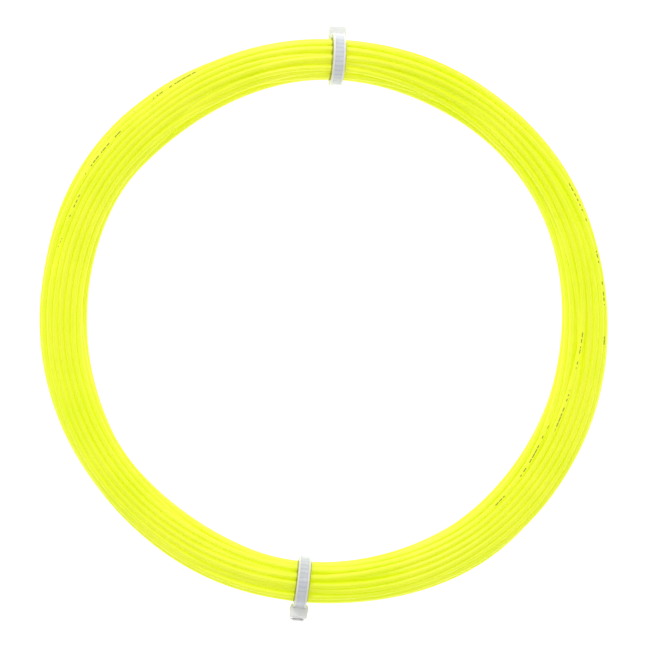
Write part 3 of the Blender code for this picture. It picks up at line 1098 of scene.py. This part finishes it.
class COIL_OT_wind_string(Operator):
    """Wind the string into the ring, as one cord of its real length"""

    bl_idname = "coil.wind_string"
    bl_label = "Wind String"

    def execute(self, context):
        settings = context.scene.coil_string
        swivel = JOINTS["upper_tie_swivel"]["pos_m"]
        start = math.atan2(swivel[1], swivel[0])
        places = wound_string(settings, start)
        slices, turns, _ = places.shape
        middle, half = coil_room(slices, start)
        roll = printed_side(places, middle, half, start).T.reshape(-1)
        track = places.transpose(1, 0, 2).reshape(-1, 2)
        angle = start + TURN * np.arange(len(track)) / slices
        outwards = np.stack([np.cos(angle), np.sin(angle), np.zeros(len(angle))], axis=1)
        up = np.array((0.0, 0.0, 1.0))
        points = track[:, :1] * outwards + track[:, 1:] * up
        steps = np.linalg.norm(np.diff(points, axis=0), axis=1)
        along = np.concatenate([[0.0], np.cumsum(steps)])
        mesh = path_mesh("string", points)
        write_attribute(mesh, "along", along)
        side = np.cos(roll)[:, None] * up + np.sin(roll)[:, None] * outwards
        write_attribute(mesh, "print_side", side, "FLOAT_VECTOR")
        string = linked("string", mesh)
        run_nodes(
            string,
            built("Sweep String", sweep_tree),
            Diameter=settings.diameter,
            Sides=STRING_SIDES,
            Material=string_material(settings),
        )
        made_plain(string)
        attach(string, STRING_BODY)
        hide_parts(STRING_NODE)
        return {"FINISHED"}


class COIL_OT_mould_ties(Operator):
    """Mould both cable ties, each with its strap, teeth and head in one piece"""

    bl_idname = "coil.mould_ties"
    bl_label = "Mould Ties"

    def execute(self, context):
        settings = context.scene.coil_tie
        material = nylon_material(settings)
        plan = TiePlan(settings)
        for node, (body, _, swivel, flex) in TIES.items():
            name = node + "_moulding"
            tie = linked(name, head_mesh(name, plan))
            start, half = plan.head_inner - HEAD_WALL, settings.strap_width / 2 + SLOT_GAP
            slot = opening_mesh(start, plan, half, -plan.slot_half, plan.slot_half)
            start, half = plan.head_inner + PAWL_WALL, plan.pawl_width / 2 + PAWL_GAP
            pocket = opening_mesh(start, plan, half, 0.0, plan.pocket_top)
            combined(tie, slot, "DIFFERENCE")
            combined(tie, pocket, "DIFFERENCE")
            combined(tie, strap_mesh("strap", plan), "UNION")
            joined(tie, strap_teeth(plan, material))
            note_places(tie.data, plan)
            # Painted light for the whole tie: lighter on the upper one, darker on the lower.
            write_attribute(tie.data, "shade", np.full(len(tie.data.vertices), PAINTED_TIE_LIGHT[node]))
            smooth_finish(tie, material)
            tie.data.transform(tie_axes(swivel, flex, plan))
            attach(tie, body)
            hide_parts(node)
        return {"FINISHED"}


class COIL_OT_hang_pawls(Operator):
    """Hang the locking pawl inside the head of each tie"""

    bl_idname = "coil.hang_pawls"
    bl_label = "Hang Pawls"

    def execute(self, context):
        material = bpy.data.materials[NYLON]
        plan = TiePlan(context.scene.coil_tie)
        for node, (_, body, swivel, flex) in TIES.items():
            name = node + "_pawl_tongue"
            pawl = linked(name, pawl_mesh(name, plan))
            count = len(pawl.data.vertices)
            # The pawl's notes; the last is its tie's painted light.
            values = {"along": 0.0, "across": 1.0, "thick": 1.0, "shade": PAINTED_TIE_LIGHT[node]}
            for attribute_name, value in values.items():
                write_attribute(pawl.data, attribute_name, [value] * count)
            smooth_finish(pawl, material)
            pawl.data.transform(tie_axes(swivel, flex, plan))
            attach(pawl, body)
            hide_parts(node + "_pawl")
        return {"FINISHED"}


# Each lamp's place, its width and its power in watts.
LAMPS = {
    "key": ((-0.20, 0.80, 0.60), 0.35, 3.0),
    "glint": ((0.01, 0.28, 0.90), 0.04, 0.8),
    "fill": ((0.50, -0.30, 0.75), 0.60, 0.5),
}
WHITE = (1.0, 1.0, 1.0, 1.0)
SKY_STRENGTH = 0.63
FLOOR_GLOW = 0.74
FLOOR_REACH = 20.0
# How far off the ring's middle the camera stands.
CAMERA_OFFSET = -0.86 * MM
SENSOR_WIDTH = 36.0


class COIL_OT_set_stage(Operator):
    """Set the pale floor, the soft lights and the camera above the ring"""

    bl_idname = "coil.set_stage"
    bl_label = "Set Stage"

    def execute(self, context):
        scene = context.scene
        settings = scene.coil_stage
        scene.view_settings.view_transform = "Standard"
        world = bpy.data.worlds.new("studio")
        world.use_nodes = True
        background = world.node_tree.nodes["Background"]
        background.inputs["Color"].default_value = WHITE
        background.inputs["Strength"].default_value = SKY_STRENGTH
        scene.world = world

        mesh = bpy.data.meshes.new("floor")
        corners = [(-1, -1), (1, -1), (1, 1), (-1, 1)]
        corners = [(x * FLOOR_REACH, y * FLOOR_REACH, 0.0) for x, y in corners]
        mesh.from_pydata(corners, [], [(0, 1, 2, 3)])
        floor = linked("floor", mesh)
        material, _, shader = new_material("pale_floor")
        shader.inputs["Base Color"].default_value = (*settings.floor, 1.0)
        shader.inputs["Roughness"].default_value = 0.9
        shader.inputs["Specular IOR Level"].default_value = 0.1
        shader.inputs["Emission Color"].default_value = WHITE
        shader.inputs["Emission Strength"].default_value = FLOOR_GLOW
        mesh.materials.append(material)

        for name, (place, width, power) in LAMPS.items():
            light = bpy.data.lights.new(name, "AREA")
            light.size = width
            light.energy = power * settings.light
            lamp = linked(name, light)
            lamp.location = place
            lamp.rotation_euler = (-Vector(place)).to_track_quat("-Z", "Y").to_euler()

        camera = bpy.data.cameras.new("camera")
        camera.lens = settings.lens
        camera.sensor_width = SENSOR_WIDTH
        camera.clip_start = 0.01
        camera.clip_end = 100.0
        view = linked("camera", camera)
        top = cad_box[1].z
        height = settings.picture_width * settings.lens / SENSOR_WIDTH
        view.location = (0.0, CAMERA_OFFSET, top / 2 + height)
        scene.camera = view
        return {"FINISHED"}


class COIL_PT_panel(Panel):
    """The steps that make the coil, in order, with their sizes"""

    bl_idname = "COIL_PT_panel"
    bl_label = "String Coil"
    bl_space_type = "VIEW_3D"
    bl_region_type = "UI"
    bl_category = "String Coil"

    def draw(self, context):
        scene = context.scene
        for group, steps in (
            (scene.coil_string, (COIL_OT_wind_string,)),
            (scene.coil_tie, (COIL_OT_mould_ties, COIL_OT_hang_pawls)),
            (scene.coil_stage, (COIL_OT_set_stage,)),
        ):
            box = self.layout.box()
            for name in group.__annotations__:
                box.prop(group, name)
            for step in steps:
                box.operator(step.bl_idname)


CLASSES = (
    StringSettings,
    TieSettings,
    StageSettings,
    COIL_OT_wind_string,
    COIL_OT_mould_ties,
    COIL_OT_hang_pawls,
    COIL_OT_set_stage,
    COIL_PT_panel,
)


def register():
    for item in CLASSES:
        bpy.utils.register_class(item)
    bpy.types.Scene.coil_string = PointerProperty(type=StringSettings)
    bpy.types.Scene.coil_tie = PointerProperty(type=TieSettings)
    bpy.types.Scene.coil_stage = PointerProperty(type=StageSettings)


def unregister():
    del bpy.types.Scene.coil_stage
    del bpy.types.Scene.coil_tie
    del bpy.types.Scene.coil_string
    for item in reversed(CLASSES):
        bpy.utils.unregister_class(item)


def main():
    register()
    bpy.ops.coil.set_stage()
    bpy.ops.coil.wind_string()
    bpy.ops.coil.mould_ties()
    bpy.ops.coil.hang_pawls()


if __name__ == "__main__":
    main()
